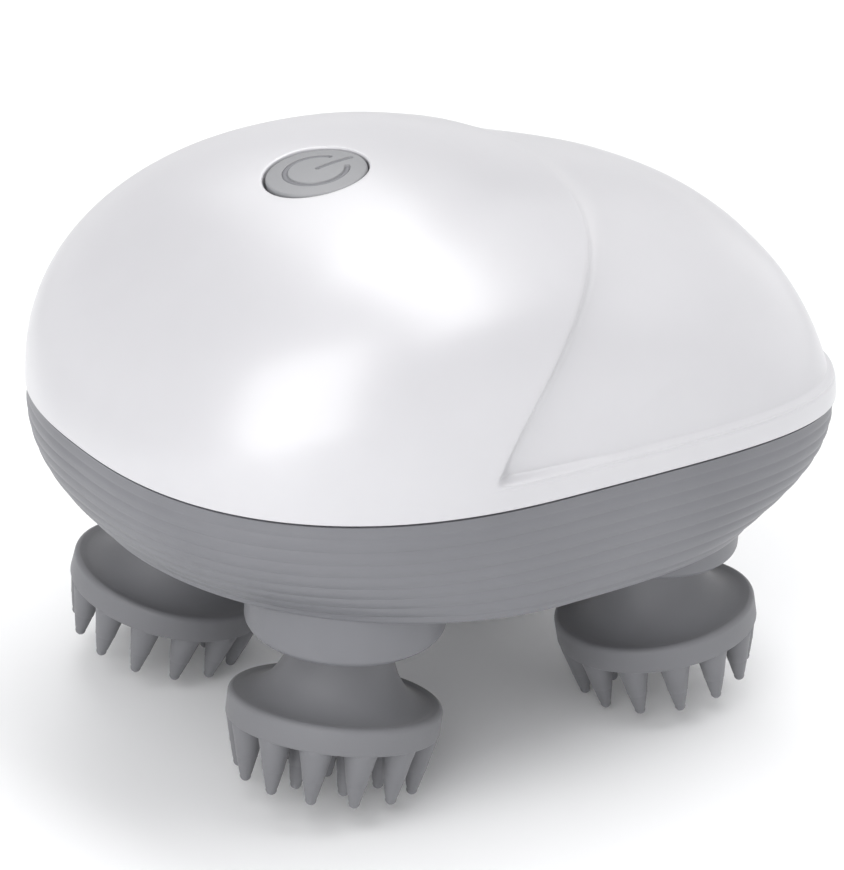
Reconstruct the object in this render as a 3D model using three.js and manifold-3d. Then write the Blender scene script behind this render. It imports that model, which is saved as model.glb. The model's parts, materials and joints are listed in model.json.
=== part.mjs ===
// Four-head scalp massager brush, in millimetres, +Z up.
// The origin is on the surface that the brush stands on, under the middle of its outline.
// +X points to the tail.
import * as THREE from 'three';
import { mergeVertices } from 'three/addons/utils/BufferGeometryUtils.js';
import Module from 'manifold-3d';

const wasm = await Module();
wasm.setup();

// ---- Driving dimensions ----
const GAP = 0.3;                    // air between pieces that touch on the real brush
const RAD = Math.PI / 180;

// Body outline at the parting plane: a superellipse with a rounder front half and a squarer tail half.
const FRONT_LENGTH = 53;
const TAIL_LENGTH = 63;
const HALF_WIDTH = 46.6;
const FRONT_POWER = 2.46;
const TAIL_POWER = 4.4;
const OUTLINE_X = (FRONT_LENGTH - TAIL_LENGTH) / 2;
// Dome: the crest line rises to the crest and falls to the tail. The cross-sections sharpen towards the tail.
const DOME_HEIGHT = 37.2;
const CREST_X = OUTLINE_X + 6.5;
const FRONT_RISE = 2.28;
const FRONT_ROUND = 1.69;
const TAIL_FALL = 0.96;
const TAIL_ROUND = 3.9;
const FRONT_SECTION = 3.26;
const TAIL_SECTION = 1.74;
// Bowl: the outline of the flat underside as shares of the outline at the parting plane.
const BOWL_DEPTH = 18.6;
const BOWL_FRONT = 0.823;
const BOWL_TAIL = 0.776;
const BOWL_SIDE = 0.976;
const BOWL_FRONT_POWER = 1.87;
const BOWL_TAIL_POWER = 3.33;
const BOWL_CURVE = 2.75;
const SHELL_EDGE = 0.996;            // the shell's rim as a share of the cover's
const WALL = 2.2;
const WALL_SHARE = 0.045;           // the wall as a share of the outline
const PARTING_GAP = 0.15;
const AROUND = 36;

// Massage heads: axes splay outwards from the vertical by SPLAY.
const HEAD_CENTRE_X = 2;
const HEAD_X = 27.7;
const HEAD_Y = 21.45;
const HEAD_RADIUS = Math.hypot(HEAD_X, HEAD_Y);
const SPLAY = 12.5 * RAD;
const PIVOT_DROP = 25;              // parting plane to the zero of a head's frame
const BOSS_DROP = 25.9;             // parting plane to the level end of a boss
const DISC_RADIUS = 15.7;
const DISC_TOP = 12.1;              // distances down the head's axis from its zero
const BAND_END = 15.8;
const TIP_END = 24.6;
const NECK_RADIUS = 7.7;
const RING_FINGERS = 13;
const RING_RADIUS = 13.25;
const RING_TIP_RADIUS = 12.9;
const INNER_FINGERS = 7;
const INNER_RADIUS = 8;
const FINGER_ROOT = 2.6;
const INNER_ROOT = 2;
const FINGER_TIP = 0.75;
const FINGER_SIDES = 6;
const NECK_TOP = 0.9;
const SEAL_RADIUS = 7.9;
const RECESS_RADIUS = 8.3;
const BOSS_RADIUS = 14.6;
const BEARING_RADIUS = 8.5;         // the bearing's seat inside a boss, on the head's axis
const BOSS_LENGTH = 10.5;
const SHAFT_RADIUS = 2.5;
const SHAFT_END = -11.5;
const BUSH_RADIUS = 5;

// The brush stands on the fingertips of each head's inner side. The lowest a tip comes is in its axis plane.
const TIP_REACH = RING_TIP_RADIUS + FINGER_TIP;
const PARTING_Z = PIVOT_DROP + TIP_END * Math.cos(SPLAY) + TIP_REACH * Math.sin(SPLAY);
const FLOOR_Z = PARTING_Z - BOWL_DEPTH;
const FLOOR_THICK = 2;
const FLOOR_TOP_Z = FLOOR_Z + FLOOR_THICK;
const BODY_REACH = 100;             // beyond every side of the body

// Gear train: motor pinion, drive wheel, sun gear and four head gears whose axes all meet at one point.
const APEX_Z = PARTING_Z - PIVOT_DROP + HEAD_RADIUS / Math.tan(SPLAY);
const SUN_TEETH = 24;
const HEAD_TEETH = 16;
const SUN_CONE = Math.atan(Math.sin(SPLAY) / (HEAD_TEETH / SUN_TEETH + Math.cos(SPLAY)));
const HEAD_CONE = SPLAY - SUN_CONE;
const SUN_Z = PARTING_Z - 11.5;     // middle of the sun gear
const MESH_REACH = (APEX_Z - SUN_Z) / Math.cos(SUN_CONE);
const GEAR_WIDTH = 5;
const SUN_PHASE = Math.atan2(HEAD_Y, HEAD_X);
const WHEEL_TEETH = 32;
const PINION_TEETH = 8;
const SPUR_MODULE = 1.25;
const MOTOR_OFFSET = SPUR_MODULE * (WHEEL_TEETH + PINION_TEETH) / 2 + 0.25;
const MOTOR_X = HEAD_CENTRE_X + MOTOR_OFFSET;
const WHEEL_Z = PARTING_Z - 6.6;     // underside of the drive wheel
const WHEEL_WIDTH = 3.4;
const AXLE_RADIUS = 2;

// Inside the case
const PLATE_Z = PARTING_Z - 1.2;    // underside of the chassis plate
const PLATE_TOP_Z = PLATE_Z + 2;
const PLATE_SHARE = 0.9;
const MOTOR_RADIUS = 10;
const MOTOR_LENGTH = 23;
const BATTERY_RADIUS = 7;
const BATTERY_LENGTH = 48;
const BATTERY_X = 7.4;
const BATTERY_Z = PARTING_Z + 11;
const BOARD_TOP = -14.8;            // along the button's axis
const BOARD_THICK = 1.6;
const BOARD_POSTS = [[-10, 0], [6, 8.5], [6, -8.5]];
const CONTACT_X = HEAD_CENTRE_X + 9;
const CONTACT_Y = 3;
const PIN_RADIUS = 1.2;
const CHARGE_HALF_LENGTH = 12;
const CHARGE_HALF_WIDTH = 7;
const CHARGE_PROUD = 0.4;           // how far the charging plate stands below the floor
const SCREW_RADIUS = 1.2;
const SCREW_HEAD_RADIUS = 2.6;
const SCREW_SINK = 0.4;             // how far the screw heads lie above the underside
const SCREW_HEAD_LENGTH = 1.7;
const POST_RADIUS = 4;
const SCREW_PLACES = [[-38, 0], [39.3, 0], [HEAD_CENTRE_X, 31], [HEAD_CENTRE_X, -31]];

// Power button, on an axis square to the dome
const BUTTON_X = -19.7;
const BUTTON_TILT = 12 * RAD;
const BUTTON_RADIUS = 7.4;
const BUTTON_Z = PARTING_Z + 35;

// ---- Materials ----
const white = new THREE.MeshStandardMaterial({ color: 0xe9eaef, roughness: 0.25, metalness: 0 });
const greyShell = new THREE.MeshStandardMaterial({ color: 0x8c8d95, roughness: 0.5, metalness: 0 });
const silicone = new THREE.MeshStandardMaterial({ color: 0x6f7076, roughness: 0.65, metalness: 0 });
const buttonGrey = new THREE.MeshStandardMaterial({ color: 0xa8a9ad, roughness: 0.5, metalness: 0 });
const sealBlack = new THREE.MeshStandardMaterial({ color: 0x2a2b2e, roughness: 0.8, metalness: 0 });
const innerPlastic = new THREE.MeshStandardMaterial({ color: 0x4a4d55, roughness: 0.6, metalness: 0 });
const gearPlastic = new THREE.MeshStandardMaterial({ color: 0xdcd6c2, roughness: 0.45, metalness: 0 });
const steel = new THREE.MeshStandardMaterial({ color: 0xb8babd, roughness: 0.3, metalness: 1 });
const brass = new THREE.MeshStandardMaterial({ color: 0xc9a24a, roughness: 0.35, metalness: 1 });
const board = new THREE.MeshStandardMaterial({ color: 0x1f6b3a, roughness: 0.5, metalness: 0 });
const cellWrap = new THREE.MeshStandardMaterial({ color: 0x2f6fb0, roughness: 0.4, metalness: 0 });

const brush = new THREE.Group();

// ---- Geometry helpers ----

// Merges shared corners, drops flat triangles and turns the faces outwards.
function closed(geometry) {
  const source = geometry.clone();
  source.deleteAttribute('normal');
  source.deleteAttribute('uv');
  const merged = mergeVertices(source, 1e-4);
  const index = merged.index.array;
  const point = merged.attributes.position;
  const corner = [new THREE.Vector3(), new THREE.Vector3(), new THREE.Vector3()];
  const kept = [];
  let volume = 0;
  for (let i = 0; i < index.length; i += 3) {
    const [a, b, c] = [index[i], index[i + 1], index[i + 2]];
    if (a === b || b === c || c === a) continue;
    corner[0].fromBufferAttribute(point, a);
    corner[1].fromBufferAttribute(point, b);
    corner[2].fromBufferAttribute(point, c);
    volume += corner[0].dot(corner[1].cross(corner[2])) / 6;
    kept.push(a, b, c);
  }
  if (volume < 0) {
    kept.reverse();
  }
  const result = new THREE.BufferGeometry();
  result.setAttribute('position', point.clone());
  result.setIndex(kept);
  return result;
}

function toSolid(geometry) {
  const shape = closed(geometry);
  const vertProperties = new Float32Array(shape.attributes.position.array);
  const triVerts = new Uint32Array(shape.index.array);
  return new wasm.Manifold(new wasm.Mesh({ numProp: 3, vertProperties, triVerts }));
}

function toGeometry(solid) {
  const mesh = solid.getMesh();
  const geometry = new THREE.BufferGeometry();
  geometry.setAttribute('position', new THREE.BufferAttribute(mesh.vertProperties, 3));
  geometry.setIndex(new THREE.BufferAttribute(mesh.triVerts, 1));
  return geometry;
}

// Joins the first list of geometries into one solid and cuts the second list out of it.
function joinAndCut(joined, cutters = []) {
  let solid = toSolid(joined[0]);
  for (const geometry of joined.slice(1)) {
    solid = solid.add(toSolid(geometry));
  }
  for (const geometry of cutters) {
    solid = solid.subtract(toSolid(geometry));
  }
  return toGeometry(solid);
}

// A solid of revolution about Z from [radius, z] pairs. The outline starts and ends on the axis or on itself.
function turned(outline, segments = 16) {
  const points = outline.map(([radius, z]) => new THREE.Vector2(radius, z));
  return closed(new THREE.LatheGeometry(points, segments).rotateX(Math.PI / 2));
}

function rod(radius, bottom, top, segments = 16) {
  const geometry = new THREE.CylinderGeometry(radius, radius, top - bottom, segments);
  return geometry.rotateX(Math.PI / 2).translate(0, 0, (bottom + top) / 2);
}

function tube(inner, outer, bottom, top, segments = 16) {
  return turned([[inner, bottom], [outer, bottom], [outer, top], [inner, top], [inner, bottom]], segments);
}

function block(x0, x1, y0, y1, z0, z1) {
  const geometry = new THREE.BoxGeometry(x1 - x0, y1 - y0, z1 - z0);
  return geometry.translate((x0 + x1) / 2, (y0 + y1) / 2, (z0 + z1) / 2);
}

function addPiece(parent, name, geometry, material) {
  const mesh = new THREE.Mesh(geometry, material);
  mesh.name = name;
  parent.add(mesh);
  return mesh;
}

// ---- Body outline ----
function superellipse(angle, front, tail, side, frontPower, tailPower) {
  const isFront = Math.cos(angle) < 0;
  const length = isFront ? front : tail;
  const power = isFront ? frontPower : tailPower;
  const along = Math.abs(Math.cos(angle) / length) ** power;
  const across = Math.abs(Math.sin(angle) / side) ** power;
  return (along + across) ** (-1 / power);
}

function rimRadius(angle) {
  return superellipse(angle, FRONT_LENGTH, TAIL_LENGTH, HALF_WIDTH, FRONT_POWER, TAIL_POWER);
}

// The bowl's radius at a depth below the parting plane.
function bowlRadius(angle, depth) {
  const front = FRONT_LENGTH * BOWL_FRONT;
  const tail = TAIL_LENGTH * BOWL_TAIL;
  const side = HALF_WIDTH * BOWL_SIDE;
  const floor = superellipse(angle, front, tail, side, BOWL_FRONT_POWER, BOWL_TAIL_POWER);
  const blend = (Math.max(0, depth) / BOWL_DEPTH) ** BOWL_CURVE;
  return rimRadius(angle) * (1 - blend) + floor * blend;
}

// Turns [share of the outline, height from the parting plane] pairs into a body that follows the outline.
function outlined(profile, segments = AROUND) {
  const geometry = turned(profile.map(([share, z]) => [share * 50, z]), segments);
  const point = geometry.attributes.position;
  for (let i = 0; i < point.count; i += 1) {
    const share = Math.hypot(point.getX(i), point.getY(i)) / 50;
    const angle = Math.atan2(point.getY(i), point.getX(i));
    const reach = share * bowlRadius(angle, -point.getZ(i));
    point.setXYZ(i, OUTLINE_X + reach * Math.cos(angle), reach * Math.sin(angle), point.getZ(i) + PARTING_Z);
  }
  return geometry;
}

// The height of the dome's surface above the parting plane.
function domeHeight(x, y) {
  const fromWidest = x - OUTLINE_X;
  const isFront = fromWidest < 0;
  const along = Math.abs(fromWidest) / (isFront ? FRONT_LENGTH : TAIL_LENGTH);
  const outlinePower = isFront ? FRONT_POWER : TAIL_POWER;
  const halfWidth = HALF_WIDTH * Math.max(1e-6, 1 - along ** outlinePower) ** (1 / outlinePower);
  const front = OUTLINE_X - FRONT_LENGTH;
  const tail = OUTLINE_X + TAIL_LENGTH;
  let crest;
  if (x < CREST_X) {
    crest = Math.max(0, 1 - ((CREST_X - x) / (CREST_X - front)) ** FRONT_RISE) ** (1 / FRONT_ROUND);
  } else {
    crest = Math.max(0, 1 - ((x - CREST_X) / (tail - CREST_X)) ** TAIL_FALL) ** (1 / TAIL_ROUND);
  }
  const section = FRONT_SECTION + (TAIL_SECTION - FRONT_SECTION) * (x - front) / (tail - front);
  return DOME_HEIGHT * crest * Math.max(0, 1 - (Math.abs(y) / halfWidth) ** section) ** (1 / section);
}

// The solid under the dome, scaled about the middle of the parting plane by spread and rise.
function domeSolid(spread, rise, bottom, steps) {
  const profile = [[0, bottom], [1, bottom]];
  for (let i = 0; i <= steps; i += 1) {
    const turn = (Math.PI / 2) * (i / steps);
    profile.push([i === steps ? 0 : Math.cos(turn), i === 0 ? 0.05 : 1 + i]);
  }
  const geometry = outlined(profile);
  const point = geometry.attributes.position;
  for (let i = 0; i < point.count; i += 1) {
    const [x, y] = [point.getX(i), point.getY(i)];
    const height = point.getZ(i) - PARTING_Z > 1 ? domeHeight(x, y) * rise : point.getZ(i) - PARTING_Z;
    point.setXYZ(i, OUTLINE_X + (x - OUTLINE_X) * spread, y * spread, PARTING_Z + Math.max(bottom, height));
  }
  return geometry;
}

// ---- Button frame: +Z out of the dome, with its zero on the dome's surface ----
const buttonPlace = new THREE.Group();
buttonPlace.position.set(BUTTON_X, 0, BUTTON_Z);
buttonPlace.rotation.y = -BUTTON_TILT;
buttonPlace.updateMatrix();
brush.add(buttonPlace);

function atButton(geometry) {
  return geometry.applyMatrix4(buttonPlace.matrix);
}

// ---- Head frames: the zero is just above the boss's end, and -Z points down and out along the axis ----
function headPlace(sideX, sideY) {
  const place = new THREE.Group();
  place.position.set(HEAD_CENTRE_X + sideX * HEAD_X, sideY * HEAD_Y, PARTING_Z - PIVOT_DROP);
  const down = new THREE.Vector3(sideX * HEAD_X, sideY * HEAD_Y, 0).normalize();
  down.multiplyScalar(Math.sin(SPLAY)).add(new THREE.Vector3(0, 0, -Math.cos(SPLAY)));
  const zAxis = down.negate();
  const outward = new THREE.Vector3(sideX * HEAD_X, sideY * HEAD_Y, 0);
  const yAxis = new THREE.Vector3().crossVectors(zAxis, outward).normalize();
  const xAxis = new THREE.Vector3().crossVectors(yAxis, zAxis);
  place.quaternion.setFromRotationMatrix(new THREE.Matrix4().makeBasis(xAxis, yAxis, zAxis));
  place.updateMatrix();
  brush.add(place);
  return place;
}

// Puts a gap of the head's gear where the sun gear has a tooth, so that every head is in mesh at rest.
function gearPhase(sideX, sideY) {
  const angle = Math.atan2(sideY * HEAD_Y, sideX * HEAD_X);
  const pitches = (angle - SUN_PHASE) * SUN_TEETH / (2 * Math.PI);
  const share = pitches - Math.floor(pitches);
  return Math.PI + (share + 0.5) * 2 * Math.PI / HEAD_TEETH;
}

// Each head's name, its sides of the middle, and how far its fingers are turned round from straight outwards.
const HEAD_SIDES = [
  ['front_right', -1, -1, 7.7 * RAD],
  ['front_left', -1, 1, 0],
  ['rear_right', 1, -1, 3 * RAD],
  ['rear_left', 1, 1, 0],
];
const heads = HEAD_SIDES.map(([name, sideX, sideY, turn]) => {
  const place = headPlace(sideX, sideY);
  return { name, place, turn, gearPhase: gearPhase(sideX, sideY) };
});

function atHead(head, geometry) {
  return geometry.applyMatrix4(head.place.matrix);
}

// ---- Case ----
function makeTopCover() {
  const outer = domeSolid(1, 1, PARTING_GAP, 9);
  const inner = domeSolid(1 - WALL_SHARE, 1 - WALL / DOME_HEIGHT, -1, 7);
  const well = atButton(tube(BUTTON_RADIUS + GAP, BUTTON_RADIUS + 2.8, -3.5, -1.2, 24));
  const hole = atButton(rod(BUTTON_RADIUS + GAP, -8, 4, 24));
  const shell = joinAndCut([outer], [inner]);
  addPiece(brush, 'top_cover', joinAndCut([shell, well], [hole]), white);
}

// A boss stands level under the floor. Inside it a thinner seat for the bearing leans with the head's axis.
function makeBosses(shell) {
  const end = PARTING_Z - BOSS_DROP;
  const bosses = [];
  const hollows = [];
  const seats = [];
  for (const head of heads) {
    const { x, y } = head.place.position;
    bosses.push(rod(BOSS_RADIUS, end, FLOOR_TOP_Z - 0.2, 28).translate(x, y, 0));
    hollows.push(rod(BOSS_RADIUS - WALL, end + WALL, FLOOR_TOP_Z + 1, 20).translate(x, y, 0));
    const seat = atHead(head, rod(BEARING_RADIUS, -WALL, BOSS_LENGTH, 20));
    const below = block(-BODY_REACH, BODY_REACH, -BODY_REACH, BODY_REACH, 0, end + 0.2);
    seats.push(joinAndCut([seat], [below]));
  }
  return joinAndCut([joinAndCut([shell, ...bosses], hollows), ...seats]);
}

function makeLowerShell() {
  const steps = 4;
  const outer = [];
  const inner = [];
  for (let i = 0; i <= steps; i += 1) {
    outer.push([SHELL_EDGE, -PARTING_GAP - (BOWL_DEPTH - PARTING_GAP) * (i / steps) ** 0.7]);
  }
  for (let i = 0; i < steps; i += 1) {
    const drop = (BOWL_DEPTH - FLOOR_THICK - PARTING_GAP) * (i / (steps - 1)) ** 0.7;
    inner.push([SHELL_EDGE - WALL_SHARE, -PARTING_GAP - drop]);
  }
  const floorTop = FLOOR_TOP_Z - PARTING_Z;
  const shell = outlined([[0, floorTop], ...inner.reverse(), ...outer, [0, -BOWL_DEPTH]]);
  const joined = [makeBosses(shell)];
  const cutters = [];
  for (const head of heads) {
    cutters.push(atHead(head, rod(BUSH_RADIUS + GAP, -2, BOSS_LENGTH + 4, 12)));
    cutters.push(atHead(head, rod(RECESS_RADIUS, -4, 2.6, 20)));
    cutters.push(atHead(head, rod(BEARING_RADIUS + 0.1, BOSS_LENGTH, BOSS_LENGTH + 5, 12)));
  }
  for (const [x, y] of SCREW_PLACES) {
    joined.push(rod(POST_RADIUS, FLOOR_Z + 0.5, PLATE_Z - GAP, 10).translate(x, y, 0));
    cutters.push(rod(SCREW_RADIUS + GAP, FLOOR_Z - 2, PARTING_Z, 8).translate(x, y, 0));
    const seatEnd = FLOOR_Z + SCREW_SINK + SCREW_HEAD_LENGTH + 0.4;
    cutters.push(rod(SCREW_HEAD_RADIUS + 0.4, FLOOR_Z - 2, seatEnd, 10).translate(x, y, 0));
  }
  joined.push(rod(5, FLOOR_Z + 0.5, FLOOR_Z + 3.9, 12).translate(HEAD_CENTRE_X, 0, 0));
  cutters.push(rod(AXLE_RADIUS + GAP, FLOOR_Z + 1.5, PARTING_Z, 12).translate(HEAD_CENTRE_X, 0, 0));
  cutters.push(chargeBlock(GAP, FLOOR_Z - 1, FLOOR_Z + 0.6 + GAP));
  for (const y of [-CONTACT_Y, CONTACT_Y]) {
    cutters.push(rod(PIN_RADIUS + GAP, FLOOR_Z - 2, FLOOR_Z + 4, 10).translate(CONTACT_X, y, 0));
  }
  addPiece(brush, 'lower_shell', joinAndCut(joined, cutters), greyShell);
}

function makeSealRing() {
  const outer = SHELL_EDGE - WALL_SHARE - 0.008;
  const inner = outer - 0.025;
  const profile = [[inner, -2.6], [outer, -2.6], [outer, 2.2], [inner, 2.2], [inner, -2.6]];
  addPiece(brush, 'seal_ring', outlined(profile), sealBlack);
}

// The charging plate's outline, grown sideways, between two heights.
function chargeBlock(grow, bottom, top) {
  const [x, y] = [CHARGE_HALF_LENGTH + grow, CHARGE_HALF_WIDTH + grow];
  return block(-x, x, -y, y, bottom, top).translate(HEAD_CENTRE_X, 0, 0);
}

function makeChargePlate() {
  const plate = chargeBlock(0, FLOOR_Z - CHARGE_PROUD, FLOOR_Z + 0.6);
  const holes = [];
  [-CONTACT_Y, CONTACT_Y].forEach((y, i) => {
    holes.push(rod(PIN_RADIUS + GAP, FLOOR_Z - 2, FLOOR_Z + 2, 10).translate(CONTACT_X, y, 0));
    const pin = rod(PIN_RADIUS, FLOOR_Z - CHARGE_PROUD - 0.2, FLOOR_Z + 3.5, 10).translate(CONTACT_X, y, 0);
    addPiece(brush, `charge_pin_${i + 1}`, pin, brass);
  });
  addPiece(brush, 'charge_plate', joinAndCut([plate], holes), innerPlastic);
}

function makeCaseScrews() {
  const start = FLOOR_Z + SCREW_SINK;
  const neck = start + SCREW_HEAD_LENGTH;
  const head = [[0, start], [SCREW_HEAD_RADIUS, start], [SCREW_HEAD_RADIUS, neck], [SCREW_RADIUS, neck]];
  SCREW_PLACES.forEach(([x, y], i) => {
    const screw = turned([...head, [SCREW_RADIUS, PLATE_TOP_Z + 2.5], [0, PLATE_TOP_Z + 3.2]], 8);
    addPiece(brush, `case_screw_${i + 1}`, screw.translate(x, y, 0), steel);
  });
}

// ---- Chassis and electrics ----

function makeChassisPlate() {
  const bottom = PLATE_Z - PARTING_Z;
  const top = PLATE_TOP_Z - PARTING_Z;
  const plate = outlined([[0, bottom], [PLATE_SHARE, bottom], [PLATE_SHARE, top], [0, top]]);
  const joined = [plate];
  const cutters = [rod(AXLE_RADIUS + GAP, PLATE_Z - 2, PLATE_TOP_Z + 2, 12).translate(HEAD_CENTRE_X, 0, 0)];
  cutters.push(rod(4, PLATE_Z - 2, PLATE_TOP_Z + 2).translate(MOTOR_X, 0, 0));
  for (const [x, y] of SCREW_PLACES) {
    const isClearOfMotor = Math.hypot(x - MOTOR_X, y) > MOTOR_RADIUS + 4;
    if (isClearOfMotor) {
      joined.push(rod(POST_RADIUS - 0.6, PLATE_Z + 0.5, PLATE_TOP_Z + 4, 10).translate(x, y, 0));
    }
    cutters.push(rod(SCREW_RADIUS + GAP, PLATE_Z - 2, PLATE_TOP_Z + 6, 8).translate(x, y, 0));
  }
  const postTop = BOARD_TOP - BOARD_THICK - GAP;
  for (const [x, y] of BOARD_POSTS) {
    const toPlate = BUTTON_Z - PLATE_TOP_Z + x * Math.sin(BUTTON_TILT);
    joined.push(atButton(rod(2.6, -toPlate / Math.cos(BUTTON_TILT) - 1, postTop, 10).translate(x, y, 0)));
    cutters.push(atButton(rod(1.3, postTop - 6, postTop + 2, 8).translate(x, y, 0)));
  }
  addPiece(brush, 'chassis_plate', joinAndCut(joined, cutters), innerPlastic);
}

function makeMotor() {
  const bottom = PLATE_TOP_Z + GAP;
  const boss = PLATE_Z + 0.5;
  const top = bottom + MOTOR_LENGTH;
  const can = [[0, boss], [3, boss], [3, bottom], [MOTOR_RADIUS, bottom], [MOTOR_RADIUS, top]];
  const end = [[4, top], [4, top + 1.5], [0, top + 1.5]];
  addPiece(brush, 'motor', turned([...can, ...end], 24).translate(MOTOR_X, 0, 0), steel);
  const shaft = rod(1, WHEEL_Z - 0.3, boss - GAP, 10).translate(MOTOR_X, 0, 0);
  addPiece(brush, 'motor_shaft', shaft, steel);
  const band = MOTOR_RADIUS + GAP;
  const ring = tube(band, band + 1.6, bottom + 8, bottom + 13, 24);
  const legs = [-1, 1].map((side) => {
    const near = Math.min(side * (band + 0.2), side * (band + 1.6));
    return block(-4, 4, near, near + 1.4, bottom, bottom + 10);
  });
  addPiece(brush, 'motor_bracket', joinAndCut([ring, ...legs]).translate(MOTOR_X, 0, 0), innerPlastic);
}

function makeBattery() {
  const half = BATTERY_LENGTH / 2;
  const cap = [[2.5, half], [2.5, half + 1.2], [0, half + 1.2]];
  const outline = [[0, -half], [BATTERY_RADIUS, -half], [BATTERY_RADIUS, half], ...cap];
  const cell = turned(outline, 24).rotateX(Math.PI / 2).translate(BATTERY_X, 0, BATTERY_Z);
  addPiece(brush, 'battery_cell', cell, cellWrap);
  const cradle = block(BATTERY_X - 7.5, BATTERY_X + 7.5, -14, 14, PLATE_TOP_Z + GAP, BATTERY_Z - 1);
  const trough = rod(BATTERY_RADIUS + GAP, -30, 30, 24).rotateX(Math.PI / 2);
  trough.translate(BATTERY_X, 0, BATTERY_Z);
  const axleRoom = rod(4.2, PLATE_Z, BATTERY_Z).translate(HEAD_CENTRE_X, 0, 0);
  addPiece(brush, 'battery_cradle', joinAndCut([cradle], [trough, axleRoom]), innerPlastic);
}

function makeBoard() {
  const bottom = BOARD_TOP - BOARD_THICK;
  const holes = BOARD_POSTS.map(([x, y]) => rod(1.3, bottom - 1, BOARD_TOP + 1, 8).translate(x, y, 0));
  const plate = joinAndCut([block(-13, 13, -12, 12, bottom, BOARD_TOP)], holes);
  addPiece(buttonPlace, 'circuit_board', plate, board);
  BOARD_POSTS.forEach(([x, y], i) => {
    const head = BOARD_TOP + GAP;
    const thread = [[0, bottom - 5], [0.9, bottom - 4.5], [0.9, head]];
    const outline = [...thread, [1.9, head], [1.9, head + 1.2], [0, head + 1.2]];
    addPiece(buttonPlace, `board_screw_${i + 1}`, turned(outline, 8).translate(x, y, 0), steel);
  });
  const body = block(-3, 3, -3, 3, BOARD_TOP + GAP, BOARD_TOP + 3.2);
  const plunger = rod(1.6, BOARD_TOP + 3, -10.8, 12);
  addPiece(buttonPlace, 'tact_switch', joinAndCut([body, plunger]), sealBlack);
}

// ---- Power button ----
function makeButton() {
  const pad = [[BUTTON_RADIUS, -4.8], [BUTTON_RADIUS, -0.2], [BUTTON_RADIUS - 0.5, 0.25], [4, 0.5], [0, 0.6]];
  const flange = [[0, -9.5], [2, -9.5], [2, -6], [BUTTON_RADIUS + 2, -6], [BUTTON_RADIUS + 2, -4.8]];
  addPiece(buttonPlace, 'power_button', turned([...flange, ...pad], 24), buttonGrey);
  const gasket = tube(BUTTON_RADIUS + 0.5, BUTTON_RADIUS + 2.5, -4.5, -3.8, 24);
  addPiece(buttonPlace, 'button_gasket', gasket, sealBlack);
}

// ---- Gears ----

// A toothed outline: straight-flanked teeth whose first tooth is centred on the angle phase.
function toothPoints(teeth, pitchRadius, phase) {
  const module = 2 * pitchRadius / teeth;
  const root = pitchRadius - 1.25 * module;
  const tip = pitchRadius + 0.85 * module;
  const pitch = 2 * Math.PI / teeth;
  const points = [];
  for (let i = 0; i < teeth; i += 1) {
    for (const [radius, share] of [[root, -0.29], [tip, -0.11], [tip, 0.11], [root, 0.29]]) {
      const angle = phase + (i + share) * pitch;
      points.push(new THREE.Vector2(radius * Math.cos(angle), radius * Math.sin(angle)));
    }
  }
  return points;
}

// An extruded gear that shrinks towards a point at height apex, or stays straight when apex is null.
function gear(teeth, pitchRadius, bottom, top, apex, phase) {
  const shape = new THREE.Shape(toothPoints(teeth, pitchRadius, phase));
  const geometry = new THREE.ExtrudeGeometry(shape, { depth: top - bottom, bevelEnabled: false });
  geometry.translate(0, 0, bottom);
  if (apex !== null) {
    const point = geometry.attributes.position;
    const middle = (bottom + top) / 2;
    for (let i = 0; i < point.count; i += 1) {
      const scale = (apex - point.getZ(i)) / (apex - middle);
      point.setXY(i, point.getX(i) * scale, point.getY(i) * scale);
    }
  }
  return geometry;
}

function makeDrive() {
  const place = new THREE.Group();
  place.position.x = HEAD_CENTRE_X;
  brush.add(place);
  const sunRadius = MESH_REACH * Math.sin(SUN_CONE);
  const sunBottom = SUN_Z - GEAR_WIDTH / 2;
  const sunTop = SUN_Z + GEAR_WIDTH / 2;
  const sun = gear(SUN_TEETH, sunRadius, sunBottom, sunTop, APEX_Z, SUN_PHASE);
  const hub = rod(6, sunTop - 0.5, WHEEL_Z - GAP);
  const bore = rod(AXLE_RADIUS + GAP, sunBottom - 1, WHEEL_Z + 10, 12);
  addPiece(place, 'sun_gear', joinAndCut([sun, hub], [bore]), gearPlastic);
  const wheelPitchRadius = SPUR_MODULE * WHEEL_TEETH / 2;
  const wheel = gear(WHEEL_TEETH, wheelPitchRadius, WHEEL_Z, WHEEL_Z + WHEEL_WIDTH, null, 0);
  addPiece(place, 'drive_wheel', joinAndCut([wheel], [bore]), gearPlastic);
  const top = PLATE_TOP_Z + GAP;
  const pin = [[0, FLOOR_Z + 1.9], [AXLE_RADIUS, FLOOR_Z + 1.9], [AXLE_RADIUS, top]];
  const axle = [...pin, [3.6, top], [3.6, top + 1.2], [0, top + 1.2]];
  addPiece(place, 'drive_axle', turned(axle, 12), steel);
  const pinionPhase = Math.PI + Math.PI / PINION_TEETH;
  const pinionRadius = SPUR_MODULE * PINION_TEETH / 2;
  const pinionTop = WHEEL_Z + WHEEL_WIDTH;
  const pinion = gear(PINION_TEETH, pinionRadius, WHEEL_Z + 0.2, pinionTop, null, pinionPhase);
  const pinionBore = rod(1.3, WHEEL_Z - 1, WHEEL_Z + 6, 10);
  addPiece(brush, 'motor_pinion', joinAndCut([pinion], [pinionBore]).translate(MOTOR_X, 0, 0), brass);
}

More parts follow.
